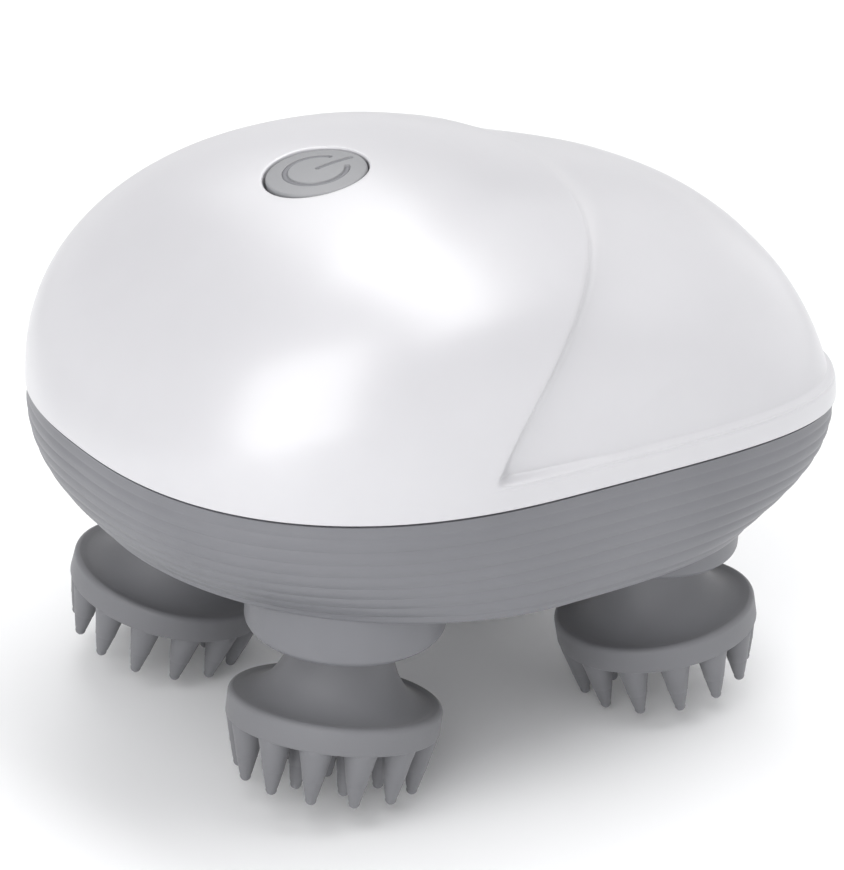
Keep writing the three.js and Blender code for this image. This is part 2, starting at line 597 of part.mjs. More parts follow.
// ---- Massage heads ----
function makeHeadGear(head) {
  const middle = HEAD_RADIUS / Math.sin(SPLAY) - MESH_REACH * Math.cos(HEAD_CONE);
  const apex = HEAD_RADIUS / Math.sin(SPLAY);
  const radius = MESH_REACH * Math.sin(HEAD_CONE);
  const bottom = middle - GEAR_WIDTH / 2;
  const top = middle + GEAR_WIDTH / 2;
  const phase = head.gearPhase;
  const bore = rod(SHAFT_RADIUS + GAP, bottom - 1, top + 1, 12);
  const toothed = gear(HEAD_TEETH, radius, bottom, top, apex, phase);
  addPiece(head.place, `head_gear_${head.name}`, joinAndCut([toothed], [bore]), gearPlastic);
  const shaft = rod(SHAFT_RADIUS, SHAFT_END, top + 1.2, 12);
  addPiece(head.place, `head_shaft_${head.name}`, shaft, steel);
}

function makeHeadBearings(head) {
  const inner = SHAFT_RADIUS + GAP;
  const seat = BOSS_LENGTH + GAP;
  const sleeve = [[inner, 2.8], [BUSH_RADIUS, 2.8], [BUSH_RADIUS, seat]];
  const flange = [[6.8, seat], [6.8, seat + 1.2], [inner, seat + 1.2]];
  addPiece(head.place, `head_bush_${head.name}`, turned([...sleeve, ...flange, [inner, 2.8]], 12), brass);
  addPiece(head.place, `head_seal_${head.name}`, tube(inner + 0.1, SEAL_RADIUS, 0.7, 2.3), sealBlack);
}

// A tapered finger whose axis runs from the root's place to the tip's, both on the ray at the angle.
function finger(rootRadius, rootReach, tipReach, angle) {
  const length = TIP_END - BAND_END + 0.6;
  const geometry = new THREE.CylinderGeometry(rootRadius, FINGER_TIP, length, FINGER_SIDES, 1);
  geometry.rotateX(Math.PI / 2).rotateZ(angle).translate(0, 0, -TIP_END + length / 2);
  const point = geometry.attributes.position;
  for (let i = 0; i < point.count; i += 1) {
    const share = (TIP_END + point.getZ(i)) / length;
    const reach = tipReach + (rootReach - tipReach) * share;
    point.setXY(i, point.getX(i) + reach * Math.cos(angle), point.getY(i) + reach * Math.sin(angle));
  }
  return geometry;
}

function makeMassageHead(head) {
  const socketTop = -DISC_TOP - 0.4;
  const socketEnd = -DISC_TOP - 2.2;
  const socket = [[0, socketEnd], [10, socketEnd], [10, socketTop], [4.6, socketTop], [4.6, -NECK_TOP]];
  const neck = [[NECK_RADIUS, -NECK_TOP], [NECK_RADIUS, -5.8], [8.7, -8.4], [11, -10.6], [14.8, -DISC_TOP]];
  const bandTop = [DISC_RADIUS, -DISC_TOP - 0.8];
  const bandEnd = [[DISC_RADIUS, -BAND_END + 0.2], [DISC_RADIUS - 0.5, -BAND_END - 0.3]];
  const body = turned([...socket, ...neck, bandTop, ...bandEnd, [0, -BAND_END - 0.3]], 26);
  const fingers = [finger(INNER_ROOT, 0, 0, 0)];
  const pitch = 2 * Math.PI / RING_FINGERS;
  for (let i = 0; i < RING_FINGERS; i += 1) {
    fingers.push(finger(FINGER_ROOT, RING_RADIUS, RING_TIP_RADIUS, head.turn + i * pitch));
  }
  for (let i = 0; i < INNER_FINGERS; i += 1) {
    const angle = head.turn + pitch + i * 2 * Math.PI / INNER_FINGERS;
    fingers.push(finger(INNER_ROOT, INNER_RADIUS, INNER_RADIUS, angle));
  }
  addPiece(head.place, `massage_head_${head.name}`, joinAndCut([body, ...fingers]), silicone);
  const hubTop = socketTop - 0.3;
  const hubEnd = socketEnd + 0.3;
  const hubPlate = [[0, hubEnd], [9.7, hubEnd], [9.7, hubTop], [4.3, hubTop], [4.3, -1]];
  const bore = SHAFT_RADIUS + GAP;
  const hub = [...hubPlate, [bore, -1], [bore, SHAFT_END - GAP], [0, SHAFT_END - GAP]];
  addPiece(head.place, `head_hub_${head.name}`, turned(hub, 16), innerPlastic);
}

makeTopCover();
makeLowerShell();
makeSealRing();
makeChargePlate();
makeCaseScrews();
makeChassisPlate();
makeMotor();
makeBattery();
makeBoard();
makeButton();
makeDrive();
for (const head of heads) {
  makeHeadGear(head);
  makeHeadBearings(head);
  makeMassageHead(head);
}

export default brush;
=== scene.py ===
"""Four-head scalp massager brush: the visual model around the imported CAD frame."""
import json
import math

import bmesh
import bpy
import numpy as np
from mathutils import Matrix, Vector


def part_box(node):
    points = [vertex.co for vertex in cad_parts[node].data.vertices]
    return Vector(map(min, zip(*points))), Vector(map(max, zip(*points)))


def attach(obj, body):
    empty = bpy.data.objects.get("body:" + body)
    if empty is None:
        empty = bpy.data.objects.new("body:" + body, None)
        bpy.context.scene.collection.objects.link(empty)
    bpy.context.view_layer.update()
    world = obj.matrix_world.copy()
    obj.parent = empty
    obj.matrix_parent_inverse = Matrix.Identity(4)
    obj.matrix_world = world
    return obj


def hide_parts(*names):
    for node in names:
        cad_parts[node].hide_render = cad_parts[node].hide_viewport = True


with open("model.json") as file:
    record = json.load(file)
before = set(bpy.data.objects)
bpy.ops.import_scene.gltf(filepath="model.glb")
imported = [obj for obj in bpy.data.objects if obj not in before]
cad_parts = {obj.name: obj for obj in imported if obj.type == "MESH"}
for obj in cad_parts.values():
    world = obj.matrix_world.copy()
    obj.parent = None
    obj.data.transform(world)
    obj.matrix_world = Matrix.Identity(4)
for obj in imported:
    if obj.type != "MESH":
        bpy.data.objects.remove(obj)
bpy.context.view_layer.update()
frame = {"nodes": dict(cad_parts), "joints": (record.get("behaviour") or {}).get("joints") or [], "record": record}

MM = 0.001
HEADS = ("front_right", "front_left", "rear_right", "rear_left")
JOINTS = {joint["name"]: joint for joint in frame["joints"]}

# ---- Places worked out from the frame (millimetres) ----
cover_low, cover_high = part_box("top_cover")
shell_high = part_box("lower_shell")[1]
PARTING_Z = (cover_low.z + shell_high.z) / 2 / MM
LENGTH = (cover_high.x - cover_low.x) / MM
HALF_WIDTH = cover_high.y / MM
FRONT_SHARE = 53 / 116              # of the length, from the front to the widest point
FRONT_LENGTH = LENGTH * FRONT_SHARE
TAIL_LENGTH = LENGTH - FRONT_LENGTH
OUTLINE_X = cover_low.x / MM + FRONT_LENGTH
FLOOR_DEPTH = 18.6                  # the parting plane to the underside
HEAD_CENTRE_X = JOINTS["drive_spin"]["pos_m"][0] / MM

# ---- Shape of the body ----
FRONT_POWER = 2.46
TAIL_POWER = 4.4
DOME_HEIGHT = 37.2
CREST_X = OUTLINE_X + 6.5
FRONT_RISE, FRONT_ROUND = 2.28, 1.69
TAIL_FALL, TAIL_ROUND = 0.96, 3.9
FRONT_SECTION, TAIL_SECTION = 3.26, 1.74
CREST_REACH = 11                    # the crown's two halves are blended this far either side
CREST_FADE = (6, 26)                # and the blend fades between these distances from the crest
CREST_STEPS = 5
BUTTON_TRAVEL = Vector(JOINTS["button_press"]["axis"])
BUTTON_TILT = math.atan2(BUTTON_TRAVEL.x, -BUTTON_TRAVEL.z)
BUTTON_X = -19.7
BUTTON_RADIUS = 7.4
BUTTON_HOLE = 7.7
HOLE_ROUND = 0.28


def smooth(value, low, high):
    """0 below low, 1 above high and a soft step between them."""
    t = np.clip((value - low) / (high - low), 0.0, 1.0)
    return t * t * (3 - 2 * t)


def superellipse(angle, front, tail, side, front_power, tail_power):
    """The radius, by angle, of an outline with a rounder and a squarer half."""
    is_front = np.cos(angle) < 0
    length = np.where(is_front, front, tail)
    power = np.where(is_front, front_power, tail_power)
    along = np.abs(np.cos(angle) / length) ** power
    across = np.abs(np.sin(angle) / side) ** power
    return (along + across) ** (-1 / power)


def rim_radius(angle):
    return superellipse(angle, FRONT_LENGTH, TAIL_LENGTH, HALF_WIDTH, FRONT_POWER, TAIL_POWER)


def half_width(x):
    """Half the rim's width at a place along the body."""
    along = np.abs(x - OUTLINE_X) / np.where(x < OUTLINE_X, FRONT_LENGTH, TAIL_LENGTH)
    power = np.where(x < OUTLINE_X, FRONT_POWER, TAIL_POWER)
    return HALF_WIDTH * np.clip(1 - along ** power, 1e-7, 1) ** (1 / power)


def crest_share(x):
    """The profile along the crown, as a share of the dome's height."""
    rise = np.clip((CREST_X - x) / (CREST_X - OUTLINE_X + FRONT_LENGTH), 0, 1)
    fall = np.clip((x - CREST_X) / (OUTLINE_X + TAIL_LENGTH - CREST_X), 0, 1)
    front = np.clip(1 - rise ** FRONT_RISE, 0, 1) ** (1 / FRONT_ROUND)
    tail = np.clip(1 - fall ** TAIL_FALL, 0, 1) ** (1 / TAIL_ROUND)
    return np.where(x < CREST_X, front, tail)


def smooth_dome(x, y):
    """The dome's height above the parting plane without its crease and band."""
    front = OUTLINE_X - FRONT_LENGTH
    tail = OUTLINE_X + TAIL_LENGTH
    reach = CREST_REACH * (1 - smooth(np.abs(x - CREST_X), *CREST_FADE))
    spread = []
    for step in range(-CREST_STEPS, CREST_STEPS + 1):
        weight = (1 - (step / (CREST_STEPS + 1)) ** 2) ** 2
        spread.append((crest_share(x + reach * step / CREST_STEPS), weight))
    crest = sum(share * weight for share, weight in spread) / sum(weight for _, weight in spread)
    towards_tail = np.clip((x - front) / (tail - front), 0, 1)
    section = FRONT_SECTION + (TAIL_SECTION - FRONT_SECTION) * towards_tail
    across = np.clip(1 - np.abs(y / half_width(x)) ** section, 0, 1) ** (1 / section)
    return DOME_HEIGHT * crest * across


# ---- Mesh helpers ----
SMOOTH_ANGLE = 35                   # edges sharper than this, in degrees, stay crisp
MERGE_DISTANCE = 1e-7


def new_object(name, points, faces, smooth_angle=SMOOTH_ANGLE):
    """A mesh object from points in millimetres."""
    mesh = bpy.data.meshes.new(name)
    mesh.from_pydata([tuple(float(c) * MM for c in p) for p in points], [], faces)
    mesh.validate()
    obj = bpy.data.objects.new(name, mesh)
    bpy.context.scene.collection.objects.link(obj)
    finish_mesh(obj, smooth_angle)
    return obj


def finish_mesh(obj, smooth_angle=SMOOTH_ANGLE):
    """Merges doubles, turns faces outwards and shades smooth except over sharp edges."""
    bm = bmesh.new()
    bm.from_mesh(obj.data)
    bmesh.ops.remove_doubles(bm, verts=bm.verts, dist=MERGE_DISTANCE)
    bmesh.ops.recalc_face_normals(bm, faces=bm.faces)
    limit = math.radians(smooth_angle)
    for face in bm.faces:
        face.smooth = True
    for edge in bm.edges:
        edge.smooth = len(edge.link_faces) == 2 and edge.calc_face_angle(0) < limit
    bm.to_mesh(obj.data)
    bm.free()
    obj.data.update()


def grid_faces(rows, columns, offset=0):
    """Quads between rows of points, where each row closes on itself."""
    faces = []
    for r in range(rows - 1):
        for c in range(columns):
            d = (c + 1) % columns
            a = offset + r * columns
            b = a + columns
            faces.append((a + c, a + d, b + d, b + c))
    return faces


def lathe_object(name, outline, segments=96, smooth_angle=SMOOTH_ANGLE):
    """A solid of revolution about Z: outline is (radius, z) and ends on the axis or on its start."""
    closed = outline[0] == outline[-1]
    rings = outline[:-1] if closed else outline
    points, faces, rows = [], [], []
    for radius, z in rings:
        if radius < 1e-9:
            rows.append([len(points)])
            points.append((0, 0, z))
        else:
            rows.append(list(range(len(points), len(points) + segments)))
            turn = [2 * math.pi * i / segments for i in range(segments)]
            points += [(radius * math.cos(a), radius * math.sin(a), z) for a in turn]
    pairs = list(zip(rows, rows[1:])) + ([(rows[-1], rows[0])] if closed else [])
    for low, high in pairs:
        for i in range(segments):
            j = (i + 1) % segments
            if len(low) == 1:
                faces.append((low[0], high[j], high[i]))
            elif len(high) == 1:
                faces.append((low[i], low[j], high[0]))
            else:
                faces.append((low[i], low[j], high[j], high[i]))
    return new_object(name, points, faces, smooth_angle)


def arc(cx, cz, radius, start, end, steps=6):
    """Points of an arc in the (radius, z) plane, in degrees."""
    turn = [math.radians(start + (end - start) * i / steps) for i in range(steps + 1)]
    return [(cx + radius * math.cos(a), cz + radius * math.sin(a)) for a in turn]


def boolean(obj, other, operation):
    """Applies a boolean and removes the other object."""
    modifier = obj.modifiers.new("boolean", "BOOLEAN")
    modifier.operation = operation
    modifier.solver = "EXACT"
    modifier.object = other
    apply_modifiers(obj)
    bpy.data.objects.remove(other)


def apply_modifiers(obj):
    """Bakes an object's modifiers into its mesh."""
    depsgraph = bpy.context.evaluated_depsgraph_get()
    mesh = bpy.data.meshes.new_from_object(obj.evaluated_get(depsgraph))
    obj.modifiers.clear()
    obj.data = mesh


def place(obj, matrix):
    """Moves a mesh built in millimetre coordinates to its place; matrix works in metres."""
    obj.data.transform(matrix)
    obj.data.update()
    return obj


def head_matrix(name):
    """The frame of a head: zero at the boss's open end, +Z up the shaft, +X outwards."""
    joint = JOINTS[f"head_{name}_spin"]
    up = Vector(joint["axis"]).normalized()
    position = Vector(joint["pos_m"])
    outward = Vector((position.x - HEAD_CENTRE_X * MM, position.y, 0)).normalized()
    y_axis = up.cross(outward).normalized()
    x_axis = y_axis.cross(up)
    return Matrix((
        (x_axis.x, y_axis.x, up.x, position.x),
        (x_axis.y, y_axis.y, up.y, position.y),
        (x_axis.z, y_axis.z, up.z, position.z),
        (0, 0, 0, 1),
    ))


def button_matrix():
    """The frame of the button: zero on the dome's smooth surface, +Z out of it."""
    height = PARTING_Z + float(smooth_dome(np.array([BUTTON_X]), np.array([0.0]))[0])
    return Matrix.Translation((BUTTON_X * MM, 0, height * MM)) @ Matrix.Rotation(-BUTTON_TILT, 4, "Y")


# ---- Materials ----
NOISE_RANGE = (0.3, 0.7)            # what the noise texture gives in practice
DRIFT_SCALE = 38
STREAK_SCALE = 900
PLASTIC_BUMP_DISTANCE = 0.00004
METAL_BUMP_DISTANCE = 0.00002
COAT_ROUGHNESS = 0.3
COAT_IOR = 1.75


def node_material(name):
    """A new node material with its nodes, its links and its shader."""
    material = bpy.data.materials.new(name)
    material.use_nodes = True
    nodes = material.node_tree.nodes
    links = material.node_tree.links
    return material, nodes, links, nodes["Principled BSDF"]


def coordinates(nodes, links, scale):
    """Object coordinates, scaled evenly."""
    texture = nodes.new("ShaderNodeTexCoord")
    mapping = nodes.new("ShaderNodeMapping")
    mapping.inputs["Scale"].default_value = (scale, scale, scale)
    links.new(texture.outputs["Object"], mapping.inputs["Vector"])
    return mapping.outputs["Vector"]


def noise(nodes, links, scale, detail=4, roughness=0.55):
    texture = nodes.new("ShaderNodeTexNoise")
    texture.inputs["Scale"].default_value = 1
    texture.inputs["Detail"].default_value = detail
    texture.inputs["Roughness"].default_value = roughness
    links.new(coordinates(nodes, links, scale), texture.inputs["Vector"])
    return texture.outputs["Fac"]


def remap(nodes, links, source, low, high):
    """Maps a noise value to a range."""
    mapping = nodes.new("ShaderNodeMapRange")
    mapping.inputs["From Min"].default_value = NOISE_RANGE[0]
    mapping.inputs["From Max"].default_value = NOISE_RANGE[1]
    mapping.inputs["To Min"].default_value = low
    mapping.inputs["To Max"].default_value = high
    links.new(source, mapping.inputs["Value"])
    return mapping.outputs["Result"]


def mix_colour(nodes, links, factor, first, second):
    """A blend of two colours."""
    mix = nodes.new("ShaderNodeMix")
    mix.data_type = "RGBA"
    mix.inputs["A"].default_value = (*first, 1)
    mix.inputs["B"].default_value = (*second, 1)
    links.new(factor, mix.inputs["Factor"])
    return mix.outputs["Result"]


def add_bump(nodes, links, shader, height, strength, distance):
    bump = nodes.new("ShaderNodeBump")
    bump.inputs["Strength"].default_value = strength
    bump.inputs["Distance"].default_value = distance
    links.new(height, bump.inputs["Height"])
    links.new(bump.outputs["Normal"], shader.inputs["Normal"])


def plastic(name, dark, light, roughness, grain, bump, coat=0.0, sheen=0.0, gloss=0.5):
    """Moulded plastic or silicone: a slow drift of tone, fine mould grain and uneven gloss."""
    material, nodes, links, shader = node_material(name)
    drift = noise(nodes, links, DRIFT_SCALE, 3)
    tone = remap(nodes, links, drift, 0.0, 1.0)
    links.new(mix_colour(nodes, links, tone, dark, light), shader.inputs["Base Color"])
    fine = noise(nodes, links, grain, 3)
    uneven = remap(nodes, links, fine, roughness - 0.04, roughness + 0.05)
    links.new(uneven, shader.inputs["Roughness"])
    add_bump(nodes, links, shader, fine, bump, PLASTIC_BUMP_DISTANCE)
    shader.inputs["Coat Weight"].default_value = coat
    shader.inputs["Coat Roughness"].default_value = COAT_ROUGHNESS
    shader.inputs["Coat IOR"].default_value = COAT_IOR
    shader.inputs["Sheen Weight"].default_value = sheen
    shader.inputs["Specular IOR Level"].default_value = gloss
    return material


def metal(name, dark, light, roughness):
    """Bare metal with uneven tone and gloss."""
    material, nodes, links, shader = node_material(name)
    streak = noise(nodes, links, STREAK_SCALE, 2)
    tone = remap(nodes, links, streak, 0, 1)
    links.new(mix_colour(nodes, links, tone, dark, light), shader.inputs["Base Color"])
    uneven = remap(nodes, links, streak, roughness - 0.06, roughness + 0.08)
    links.new(uneven, shader.inputs["Roughness"])
    add_bump(nodes, links, shader, streak, 0.15, METAL_BUMP_DISTANCE)
    shader.inputs["Metallic"].default_value = 1.0
    return material


MATERIALS = {
    # name, dark tone, light tone, roughness, grain scale, bump strength
    "cover": plastic("white_cover", (0.49, 0.487, 0.507), (0.516, 0.513, 0.533), 0.46, 5200, 0.04,
                     coat=1.0, gloss=0.8),
    "shell": plastic("grey_shell", (0.145, 0.147, 0.16), (0.168, 0.17, 0.184), 0.42, 6500, 0.10),
    "silicone": plastic("grey_silicone", (0.14, 0.141, 0.151), (0.162, 0.164, 0.175), 0.58, 4200, 0.12,
                        sheen=0.12),
    "button": plastic("button_grey", (0.235, 0.238, 0.248), (0.255, 0.258, 0.268), 0.42, 6000, 0.08),
    "seal": plastic("seal_rubber", (0.02, 0.02, 0.022), (0.035, 0.035, 0.038), 0.7, 3000, 0.15),
    "chassis": plastic("chassis_plastic", (0.055, 0.058, 0.068), (0.08, 0.083, 0.095), 0.5, 5000, 0.15),
    "gear": plastic("gear_acetal", (0.66, 0.62, 0.49), (0.74, 0.70, 0.58), 0.4, 5000, 0.08),
    "cell": plastic("cell_wrap", (0.02, 0.12, 0.36), (0.03, 0.16, 0.45), 0.3, 1500, 0.08),
    "board": plastic("board_mask", (0.015, 0.11, 0.04), (0.03, 0.17, 0.07), 0.35, 2500, 0.2),
    "switch": plastic("switch_plastic", (0.02, 0.02, 0.022), (0.04, 0.04, 0.042), 0.4, 4000, 0.1),
    "steel": metal("bright_steel", (0.42, 0.43, 0.44), (0.58, 0.59, 0.60), 0.32),
    "contact": metal("bright_brass", (0.55, 0.36, 0.12), (0.72, 0.50, 0.20), 0.25),
}


def give(obj, slot, body, *nodes):
    """Gives a piece its material and the body that it rides on, and hides the CAD nodes that it stands for."""
    obj.data.materials.clear()
    obj.data.materials.append(MATERIALS[slot])
    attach(obj, body)
    if nodes:
        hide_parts(*nodes)


# ---- Top cover ----
CREASE_CROWN = 15.4                 # the crease's place along the body at the crown
CREASE_SWEEP = 7.4
CREASE_HOOK, CREASE_HOOK_POWER = 27.5, 5.6
CREASE_DEPTH = (0.4, 1.75)          # at the crown and on the flank
CREASE_WIDTH = (7.0, 3.0)
STEP_POWER = 2.2
SCOOP_FADE = (4, 34)                # the scoop grows shallower between these distances
BAND_HEIGHT = 3.6
BAND_DEPTH = 1.0
BAND_FADE = (6, 20)
LEDGE_RISE = 1.1
GROOVE_DEPTH = 0.14
GROOVE_WIDTH = 0.24
RAYS = 480
RINGS = 210
FINE_ROWS = 1600
FINE_POWER = 2.6
BAND_ROWS = 6                       # how much closer the rows lie over the band's ledge
HOLE_DEPTH = 1.2
INNER_SHARE = 0.955                 # the cover's inside as a share of its plan
RIM_INSET = 1e-5
WALL = 2.2
RIM_HEIGHT, RIM_UNDERSIDE = 0.2, 0.15   # the rim's edge, above the parting plane
COVER_ANGLE = 50


def crease_x(y, height):
    """The crease's place along the body: furthest back at the crown, forwards on the flank."""
    across = np.abs(y) / np.hypot(y, height + 1e-6)
    return CREASE_CROWN - CREASE_SWEEP * across - CREASE_HOOK * across ** CREASE_HOOK_POWER


def cover_point(x, y):
    """The dome's height, and how far the surface lies inside it behind the crease."""
    height = smooth_dome(x, y)
    across = np.abs(y) / np.hypot(y, height + 1e-6)
    behind = x - crease_x(y, height)
    depth = CREASE_DEPTH[0] + (CREASE_DEPTH[1] - CREASE_DEPTH[0]) * smooth(across, 0.15, 0.75)
    width = CREASE_WIDTH[0] + (CREASE_WIDTH[1] - CREASE_WIDTH[0]) * smooth(across, 0.45, 0.97)
    step = smooth(behind, -0.5, 0.7) * (1 - (1 - np.clip(behind / width, 0, 1)) ** STEP_POWER)
    scoop = step * (1 - 0.8 * smooth(behind, *SCOOP_FADE))
    ledge = smooth(height, BAND_HEIGHT, BAND_HEIGHT + LEDGE_RISE)
    ledge_depth = BAND_DEPTH * step * (1 - 0.75 * smooth(height, *BAND_FADE))
    groove = GROOVE_DEPTH * step * np.exp(-(((height - BAND_HEIGHT + 0.1) / GROOVE_WIDTH) ** 2))
    return height, np.maximum(depth * scoop, ledge_depth) * ledge + groove


def surface_normal(x, y, step=0.05):
    """The smooth dome's unit normal."""
    dzdx = (smooth_dome(x + step, y) - smooth_dome(x - step, y)) / (2 * step)
    dzdy = (smooth_dome(x, y + step) - smooth_dome(x, y - step)) / (2 * step)
    normal = np.stack([-dzdx, -dzdy, np.ones_like(dzdx)], -1)
    return normal / np.linalg.norm(normal, axis=-1, keepdims=True)


def row_shares(ray_x, ray_y, height):
    """How far along its ray each row lies, counting the way over the band's ledge more."""
    plan = np.hypot(np.diff(ray_x, axis=0), np.diff(ray_y, axis=0))
    path = np.hypot(plan, np.diff(height, axis=0))
    middle = (height[1:] + height[:-1]) / 2
    near_band = (middle > BAND_HEIGHT - 0.9) & (middle < BAND_HEIGHT + 1.5)
    counted = np.cumsum(path * np.where(near_band, BAND_ROWS, 1), axis=0)
    return np.concatenate([np.zeros((1, RAYS)), counted])


def hole_edge(edge):
    """The rounded edge of the button's hole: rows from the bore up to the cover's surface."""
    axis = np.array([-math.sin(BUTTON_TILT), 0, math.cos(BUTTON_TILT)])
    middle = edge.mean(axis=0)
    outward = edge - middle
    outward -= np.outer(outward @ axis, axis)
    outward /= np.linalg.norm(outward, axis=1, keepdims=True)
    rows = []
    for turn in np.linspace(0, math.pi / 2, 6)[:-1]:
        inwards = outward * HOLE_ROUND * math.cos(turn)
        rows.append(edge - inwards - axis * HOLE_ROUND * (1 - math.sin(turn)))
    return [rows[0] - axis * HOLE_DEPTH, *rows]


def make_cover():
    """A grid along rays from the button's hole to the rim, then under the rim and back inside."""
    ray = np.arange(RAYS) * 2 * math.pi / RAYS
    rim = rim_radius(ray)
    rim_x = OUTLINE_X + rim * np.cos(ray)
    rim_y = rim * np.sin(ray)
    to_plan = math.cos(BUTTON_TILT)
    angle_at_button = np.arctan2(rim_y, rim_x - BUTTON_X)
    hole_x = BUTTON_X + (BUTTON_HOLE + HOLE_ROUND) * np.cos(angle_at_button) * to_plan
    hole_y = (BUTTON_HOLE + HOLE_ROUND) * np.sin(angle_at_button)
    fine = 1 - np.linspace(1, 0, FINE_ROWS)[:, None] ** FINE_POWER
    fine_x = hole_x + (rim_x - hole_x) * fine
    fine_y = hole_y + (rim_y - hole_y) * fine
    travelled = row_shares(fine_x, fine_y, smooth_dome(fine_x, fine_y))
    stops = np.linspace(0, 1, RINGS)
    share = np.stack([np.interp(stops * t[-1], t, fine[:, 0]) for t in travelled.T], 1)
    x = hole_x[None] + (rim_x - hole_x)[None] * share
    y = hole_y[None] + (rim_y - hole_y)[None] * share
    x = OUTLINE_X + (x - OUTLINE_X) * (1 - RIM_INSET)
    y = y * (1 - RIM_INSET)
    height, recess = cover_point(x, y)
    normal = surface_normal(x, y)
    outer = np.stack([x, y, PARTING_Z + height], -1) - normal * recess[..., None]
    outer[..., 2] = np.maximum(outer[..., 2], PARTING_Z + RIM_HEIGHT)
    centre = np.array([OUTLINE_X, 0, PARTING_Z])
    inner_scale = np.array([INNER_SHARE, INNER_SHARE, 1 - WALL / DOME_HEIGHT])
    inner = (outer - centre) * inner_scale + centre
    rows = [*hole_edge(outer[0]), *outer]
    rows.append(rows[-1] * [1, 1, 0] + [0, 0, PARTING_Z + RIM_UNDERSIDE])
    rows += list(inner[::-1])
    points = np.concatenate(rows)
    faces = grid_faces(len(rows), RAYS)
    faces += last_row_to_first(len(rows), RAYS)
    cover = new_object("cover_shell", points, faces, COVER_ANGLE)
    give(cover, "cover", "housing", "top_cover")


def last_row_to_first(rows, columns):
    """Quads that close a grid from its last row back to its first."""
    start = (rows - 1) * columns
    for c in range(columns):
        d = (c + 1) % columns
        yield start + c, start + d, d, c


# ---- Lower shell ----
TERRACES = 9
TERRACE_BULGE = 0.18
TERRACE_INSET = TERRACE_BULGE * 0.6
BOWL_FRONT, BOWL_TAIL, BOWL_SIDE = 0.823, 0.776, 0.976
BOWL_FRONT_POWER, BOWL_TAIL_POWER = 1.87, 3.33
BOWL_CURVE = 2.75
SHELL_EDGE = 0.996                  # the shell's rim as a share of the cover's
SHELL_RAYS = 360
SHELL_ANGLE = 28
SHELL_CORNER = 1.6                  # the round edge of the underside
CORNER_REACH = 1.5
SHELL_TOP_GAP = 0.2
FLOOR_THICK = 2
BOSS_RADIUS = 14.6
BOSS_DROP = 25.9                    # the parting plane to a boss's level end
BOSS_ROUND = 1.2
BOSS_TOP = FLOOR_DEPTH - 2.4
SEAL_BORE, BUSH_BORE = 8.3, 5.3


def floor_radius(angle):
    """The outline of the underside."""
    front, tail, side = FRONT_LENGTH * BOWL_FRONT, TAIL_LENGTH * BOWL_TAIL, HALF_WIDTH * BOWL_SIDE
    return superellipse(angle, front, tail, side, BOWL_FRONT_POWER, BOWL_TAIL_POWER)


def bowl_radius(angle, depth):
    """The lower shell's outline at a depth below the parting plane."""
    blend = (depth / FLOOR_DEPTH) ** BOWL_CURVE
    return (rim_radius(angle) * (1 - blend) + floor_radius(angle) * blend) * SHELL_EDGE


def terrace(depth):
    """The outward bulge of the terraces: shallow convex bands with a crease between them."""
    place_in_band = (depth / FLOOR_DEPTH * TERRACES) % 1.0
    fade = smooth(np.array(depth), 0.5, 3.0)
    return TERRACE_BULGE * (1 - (2 * place_in_band - 1) ** 2) * fade


def shell_rows():
    """The shell's outside from the rim to the middle, then its inside back up, and where the floor turns."""
    ray = np.arange(SHELL_RAYS) * 2 * math.pi / SHELL_RAYS
    cos_ray, sin_ray = np.cos(ray), np.sin(ray)

    def row(radius, depth):
        height = np.full(SHELL_RAYS, PARTING_Z - depth)
        return np.stack([OUTLINE_X + radius * cos_ray, radius * sin_ray, height], -1)

    corner_depth = FLOOR_DEPTH - SHELL_CORNER
    top = bowl_radius(ray, SHELL_TOP_GAP)
    rows = [row(top - WALL, SHELL_TOP_GAP)]
    rows += [row(top - 0.35, SHELL_TOP_GAP), row(top - 0.08, SHELL_TOP_GAP + 0.1)]
    for depth in np.linspace(SHELL_TOP_GAP + 0.3, corner_depth, 150):
        rows.append(row(bowl_radius(ray, depth) + terrace(depth) - TERRACE_INSET, depth))
    edge = bowl_radius(ray, corner_depth) - TERRACE_INSET
    for turn in np.linspace(0.15, 1, 8) * math.pi / 2:
        inset = SHELL_CORNER * CORNER_REACH * (1 - math.cos(turn))
        rows.append(row(edge - inset, corner_depth + SHELL_CORNER * math.sin(turn)))
    edge = edge - SHELL_CORNER * CORNER_REACH
    for share in (0.94, 0.8, 0.6, 0.4, 0.2, 0.08):
        rows.append(row(edge * share, FLOOR_DEPTH))
    floor_end = len(rows)
    for share in (0.08, 0.3, 0.6, 0.8):
        rows.append(row(edge * share, FLOOR_DEPTH - FLOOR_THICK))
    for depth in np.linspace(FLOOR_DEPTH - FLOOR_THICK, 1, 12):
        rows.append(row(bowl_radius(ray, depth) - WALL, depth))
    return rows, floor_end


def box_middle(node):
    """The middle in plan and the underside of a CAD node, in metres."""
    low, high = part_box(node)
    return (low.x + high.x) / 2, (low.y + high.y) / 2, low.z


def make_bosses():
    """Four level bosses under the floor, where the shafts come out."""
    bosses = []
    for name in HEADS:
        edge = arc(BOSS_RADIUS - BOSS_ROUND, -BOSS_DROP + BOSS_ROUND, BOSS_ROUND, -90, 0, 8)
        outline = [(0, -BOSS_DROP), *edge, (BOSS_RADIUS, -BOSS_TOP), (0, -BOSS_TOP)]
        pivot = Vector(JOINTS[f"head_{name}_spin"]["pos_m"])
        at_boss = Matrix.Translation((pivot.x, pivot.y, PARTING_Z * MM))
        bosses.append(place(lathe_object("boss", outline, 160), at_boss))
    return join_objects(bosses)


